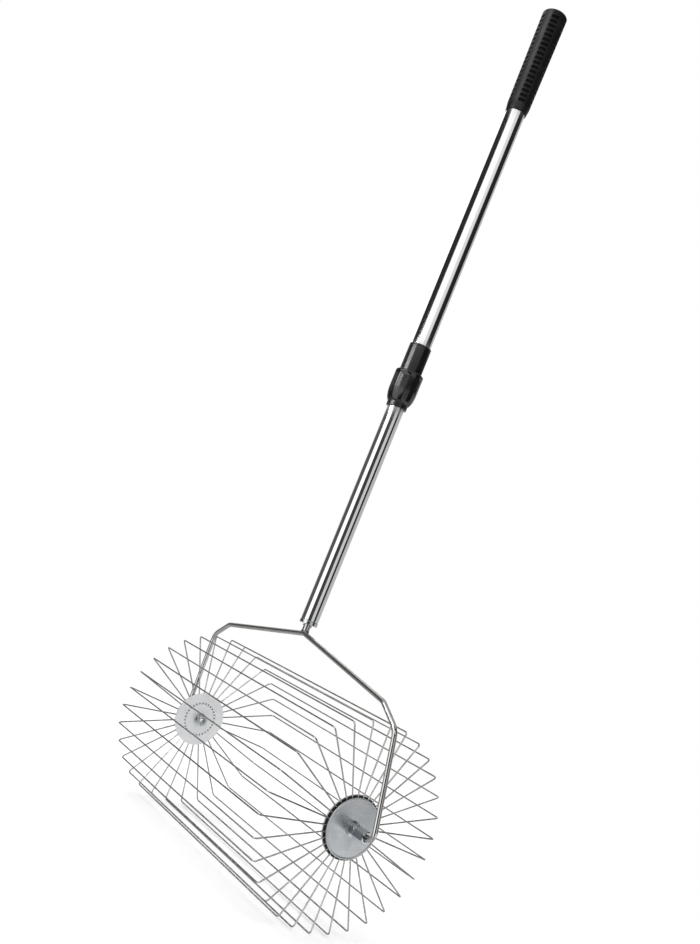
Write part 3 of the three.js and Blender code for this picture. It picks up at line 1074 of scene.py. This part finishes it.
rod = bent_rod(
    [*mirror_half, (0, 0, yoke_height), *half],
    [*reversed(half_bends), CROWN_BEND, *half_bends],
    ROD_RADIUS,
    facets=28,
    steps=12,
)
moved(rod, Matrix.Translation(AXLE) @ Matrix.Rotation(yoke_lean, 4, "X"))
settle("bent_yoke_rod", rod, polished_rod, "pole_lower", "yoke_rod")
print(f"yoke leans {degrees(yoke_lean):.1f} degrees and rises {yoke_height / MM:.1f} mm")

# %% [markdown]
# The stud that screws into the pole stands on the crown. It is turned with a slim waist under a
# collar, and its threaded end is out of sight in the pole. The weld that holds it is a lump: a
# sphere flattened over the rod, whose surface is pushed in and out by noise and then smoothed, as
# molten metal is by its own skin.

# %% Turn the yoke stud and weld it on
stud_low, stud_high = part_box("yoke_stud")
neck_radius = size("yoke_stud").x / 2
neck_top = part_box("end_plug")[0].z - 0.3 * MM
waist = neck_radius - 0.9 * MM
neck = [
    (0, stud_low.z),
    (waist, stud_low.z),
    (waist, neck_top - 2.9 * MM),
    (neck_radius - 0.2 * MM, neck_top - 2.6 * MM),
    (neck_radius, neck_top - 2.3 * MM),
    (neck_radius, neck_top - 0.4 * MM),
    (neck_radius - 0.4 * MM, neck_top),
]
drilled_end = 3  # the first points of a threaded profile, which a stud with a neck leaves out
thread = threaded(AXLE_RADIUS, neck_top, stud_high.z)[drilled_end:]
stud = turned([*neck, *thread], steps=48, loop=False)
moved(stud, Matrix.Translation(POLE))
settle("turned_yoke_stud", stud, polished_rod, "pole_lower", "yoke_stud")

bead = bmesh.new()
bmesh.ops.create_icosphere(bead, subdivisions=4, radius=1)
for vert in bead.verts:
    lump = 1 + 0.12 * noise.noise(vert.co * 3.1)
    bmesh.ops.scale(bead, verts=[vert], vec=(lump, lump, lump))
bmesh.ops.smooth_vert(
    bead, verts=bead.verts, factor=0.4, use_axis_x=True, use_axis_y=True, use_axis_z=True
)
weld_middle = POLE + Vector((0, 0, stud_low.z - 1.2 * MM))
weld_radii = (6.6 * MM, 4.6 * MM, 3.0 * MM)
moved(bead, Matrix.Translation(weld_middle) @ Matrix.Diagonal((*weld_radii, 1)))
settle("crown_weld", bead, weld_steel, "pole_lower")
print("stud of", round(2 * neck_radius / MM, 1), "mm welded to the crown")

# %% [markdown]
# ## The pole
#
# Two thin steel tubes slide one in the other. Their ends show how thin the wall is, so the profile
# has an outside, an inside and a small rounding on each rim. The end plug is a turned steel ferrule
# that closes the foot of the lower tube, with a round-edged lip outside.

# %% Turn the tubes and the end plug
TUBE_WALL = 0.8 * MM
PLUG_LIP_LENGTH = 5 * MM
PLUG_SPIGOT_RADIUS = 10 * MM


def tube(node):
    low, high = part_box(node)
    outside = size(node).x / 2
    bm = turned(
        [
            (outside - TUBE_WALL, low.z),
            (outside, low.z),
            (outside, high.z),
            (outside - TUBE_WALL, high.z),
        ],
        steps=72,
        edge_round=0.2 * MM,
    )
    return moved(bm, Matrix.Translation(POLE))


settle(
    "drawn_lower_tube", tube("lower_tube"), polished_tube, "pole_lower", "lower_tube"
)
settle(
    "drawn_upper_tube", tube("upper_tube"), polished_tube, "pole_upper", "upper_tube"
)

plug_low, plug_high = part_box("end_plug")
lip = size("end_plug").x / 2
plug = turned(
    [
        (STUD_BORE, plug_low.z),
        (lip, plug_low.z),
        (lip, plug_low.z + PLUG_LIP_LENGTH),
        (PLUG_SPIGOT_RADIUS, plug_low.z + PLUG_LIP_LENGTH),
        (PLUG_SPIGOT_RADIUS, plug_high.z),
        (STUD_BORE, plug_high.z),
    ],
    edge_round=0.9 * MM,
    segments=4,
)
moved(plug, Matrix.Translation(POLE))
settle("turned_end_plug", plug, zinc_hardware, "pole_lower", "end_plug")
print("tubes of", [round(size(node).x / MM, 1) for node in ("lower_tube", "upper_tube")], "mm")

# %% [markdown]
# ## The twist lock
#
# The sleeve is fixed on the foot of the upper tube, and the nut screws onto it. Inside the nut a
# cone squeezes a nylon collet onto the lower tube. The sleeve is a plain turned shape with a fine
# groove near its mouth, and a ledge inside its foot that the upper tube stands on.

# %% Turn the lock sleeve
sleeve_low, sleeve_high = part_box("lock_sleeve")
sleeve_radius = size("lock_sleeve").x / 2
tube_seat = size("upper_tube").x / 2 + 0.3 * MM
slide_bore = size("lower_tube").x / 2 + 0.4 * MM
GROOVE_DEPTH = 0.35 * MM
GROOVE_MIDDLE = sleeve_high.z - 2 * MM
LEDGE = 3 * MM
sleeve = turned(
    [
        (slide_bore, sleeve_low.z),
        (sleeve_radius, sleeve_low.z),
        (sleeve_radius, GROOVE_MIDDLE - 0.6 * MM),
        (sleeve_radius - GROOVE_DEPTH, GROOVE_MIDDLE - 0.2 * MM),
        (sleeve_radius - GROOVE_DEPTH, GROOVE_MIDDLE + 0.2 * MM),
        (sleeve_radius, GROOVE_MIDDLE + 0.6 * MM),
        (sleeve_radius, sleeve_high.z - 0.5 * MM),
        (sleeve_radius - 0.4 * MM, sleeve_high.z),
        (tube_seat, sleeve_high.z),
        (tube_seat, sleeve_low.z + LEDGE),
        (slide_bore, sleeve_low.z + LEDGE),
    ],
    steps=96,
)
moved(sleeve, Matrix.Translation(POLE))
settle("moulded_lock_sleeve", sleeve, gloss_black, "pole_upper", "lock_sleeve")
print("sleeve of", round(2 * sleeve_radius / MM, 1), "mm")

# %% [markdown]
# The nut has a collar, a belly that swells out of it, and eight shallow flutes for the fingers,
# which stop below a plain lip. The turned body gets enough columns for each flute to be a smooth
# hollow, and each of its outside points moves in by the flute's depth: deepest in the middle of the
# flute, nothing at the ridges, and fading out at both ends. The ridges are turned a little round
# the pole from the X axis, as the nut happens to stand when it is tight.

# %% Turn and flute the lock nut
nut_low, nut_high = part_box("lock_nut")
nut_radius = size("lock_nut").x / 2
collar_radius = slide_bore + 2.1 * MM
thread_bore = sleeve_radius + 0.3 * MM
collar_top = nut_low.z + 6 * MM
belly_top = collar_top + 19 * MM
ROUNDING = 0.4 * MM
cone_top = sleeve_low.z - 0.3 * MM
FLUTES = 8
COLUMNS = 16 * FLUTES
BELLY_STEPS = 10
BARREL_STEPS = 12

belly = []
for i in range(BELLY_STEPS + 1):
    swell = sin(0.5 * pi * i / BELLY_STEPS)
    rise = 1 - cos(0.5 * pi * i / BELLY_STEPS)
    share = 0.35 * i / BELLY_STEPS + 0.65 * rise
    belly.append(
        (
            collar_radius + ROUNDING + (nut_radius - collar_radius - ROUNDING) * swell,
            collar_top + ROUNDING + (belly_top - collar_top - ROUNDING) * share,
        )
    )
barrel_top = nut_high.z - 3.2 * MM
barrel = [
    (nut_radius, belly_top + (barrel_top - belly_top) * i / BARREL_STEPS)
    for i in range(1, BARREL_STEPS + 1)
]
nut_profile = [
    (slide_bore, nut_low.z),
    (collar_radius - ROUNDING, nut_low.z),
    (collar_radius, nut_low.z + ROUNDING),
    (collar_radius, collar_top),
    *belly,
    *barrel,
    (nut_radius, nut_high.z - 1.6 * MM),
    (nut_radius - 0.5 * MM, nut_high.z - 0.5 * MM),
    (nut_radius - 1.2 * MM, nut_high.z),
    (thread_bore, nut_high.z),
    (thread_bore, cone_top),
    (slide_bore, collar_top),
]
lock = turned(nut_profile, steps=COLUMNS)
FLUTE_DEPTH = 1.1 * MM
FLUTE_TURN = radians(16)
FOOT_FADE, TOP_FADE = 0.3, 0.06  # shares of a flute over which it runs out
RIDGE_SHARPNESS = 2.6
flute_foot = collar_top + 3 * MM
for vert in lock.verts:
    radius = sqrt(vert.co.x**2 + vert.co.y**2)
    height = vert.co.z
    if not flute_foot < height < barrel_top + 0.01 * MM or radius < thread_bore + 1 * MM:
        continue
    phase = ((atan2(vert.co.y, vert.co.x) - FLUTE_TURN) * FLUTES / (2 * pi)) % 1
    along = (height - flute_foot) / (barrel_top - flute_foot)
    fade = min(1, along / FOOT_FADE) * min(1, (1 - along) / TOP_FADE)
    inward = Vector((-vert.co.x, -vert.co.y, 0)).normalized()
    ridge = abs(2 * phase - 1) ** RIDGE_SHARPNESS
    bmesh.ops.translate(lock, verts=[vert], vec=inward * FLUTE_DEPTH * fade * (1 - ridge))
moved(lock, Matrix.Translation(POLE))
settle("fluted_lock_nut", lock, gloss_black, "lock_ring", "lock_nut", sharp=40)
print("lock nut with", FLUTES, "flutes,", round((nut_high.z - nut_low.z) / MM), "mm long")

# %% [markdown]
# ## The grip
#
# The rubber grip widens slightly towards its closed, rounded end, and its mouth tapers down to the
# tube. Round it run five columns of short cross slots, which give the hand its hold, with smooth
# strips between them. The lathe lays down a grid whose rows and columns already follow that
# pattern, so each slot is a small patch of faces that is inset and sunk. The slots' floors get the
# rougher rubber whose darker colour is painted shade, and the grip is turned so that one column of
# slots faces the front right.

# %% Mould the grip
grip_low, grip_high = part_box("grip")
end_radius = size("grip").x / 2
tube_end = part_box("upper_tube")[1].z + 0.3 * MM
MOUTH_RADIUS = 15.4 * MM
MOUTH_TAPER = 10 * MM
SLOT_DEPTH = 0.9 * MM
SLOT_COLUMNS = 5
STEPS_PER_COLUMN = 12
SLOT_STEPS = 6
SLOT_PITCH = 7.0 * MM
SLOT_LENGTH = 4.2 * MM
END_ROUND = 3.2 * MM
END_STEPS = 6
GRIP_TURN = radians(-48)


def skin_radius(height):
    """The grip's outside, from the taper at the mouth to the rounding at the end."""
    share = (height - grip_low.z) / (grip_high.z - grip_low.z)
    return MOUTH_RADIUS + (end_radius - MOUTH_RADIUS) * share


slots_foot = grip_low.z + MOUTH_TAPER + 1.5 * MM
slot_rows = int((grip_high.z - END_ROUND - 3 * MM - slots_foot) / SLOT_PITCH)
row_heights = []
for i in range(slot_rows):
    start = slots_foot + i * SLOT_PITCH
    row_heights += [start, start + SLOT_LENGTH]
skin = [(skin_radius(height), height) for height in row_heights]
crown = [
    (
        end_radius - END_ROUND * (1 - cos(0.5 * pi * i / END_STEPS)),
        grip_high.z - END_ROUND * (1 - sin(0.5 * pi * i / END_STEPS)),
    )
    for i in range(END_STEPS + 1)
]
grip_profile = [
    (0, tube_end),
    (tube_seat, tube_end),
    (tube_seat, grip_low.z),
    (tube_seat + 0.5 * MM, grip_low.z),
    (tube_seat + 0.9 * MM, grip_low.z + 0.5 * MM),
    (skin_radius(grip_low.z + MOUTH_TAPER) - 0.5 * MM, grip_low.z + 0.6 * MOUTH_TAPER),
    (skin_radius(grip_low.z + MOUTH_TAPER), grip_low.z + MOUTH_TAPER),
    *skin,
    *crown,
    (0, grip_high.z),
]
grip = turned(grip_profile, steps=SLOT_COLUMNS * STEPS_PER_COLUMN, loop=False)
slots = []
for face in grip.faces:
    heart = face.calc_center_median()
    row = (heart.z - slots_foot) / SLOT_PITCH
    column = (atan2(heart.y, heart.x) / (2 * pi) * SLOT_COLUMNS) % 1
    on_skin = sqrt(heart.x**2 + heart.y**2) > tube_seat + 1 * MM and 0 < row < slot_rows
    in_slot = row % 1 < SLOT_LENGTH / SLOT_PITCH and column < SLOT_STEPS / STEPS_PER_COLUMN
    if on_skin and in_slot:
        slots.append(face)
bmesh.ops.inset_region(
    grip, faces=slots, thickness=0.35 * MM, depth=-SLOT_DEPTH, use_even_offset=True
)
for face in slots:
    face.material_index = 1
moved(grip, Matrix.Translation(POLE) @ Matrix.Rotation(GRIP_TURN, 4, "Z"))
handle = settle("moulded_grip", grip, soft_rubber, "pole_upper", "grip", sharp=35)
# The second material is for the slot floors. It is the rougher rubber, with painted shade in its
# darker colour.
handle.data.materials.append(rough_slot_rubber_painted_shade)
print(slot_rows * SLOT_COLUMNS, "slots sunk into", len(slots), "faces")

# %% [markdown]
# ## Pieces out of sight
#
# The collet and the guide plug sit inside the pole. Their CAD solids have the right shape already,
# so they stay as they are and only get their nylon finish.

# %% Finish the hidden pieces
for node in ("lock_collet", "guide_plug"):
    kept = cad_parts[node]
    kept.data.materials.clear()
    kept.data.materials.append(natural_nylon)
    print(node, "keeps its CAD shape")
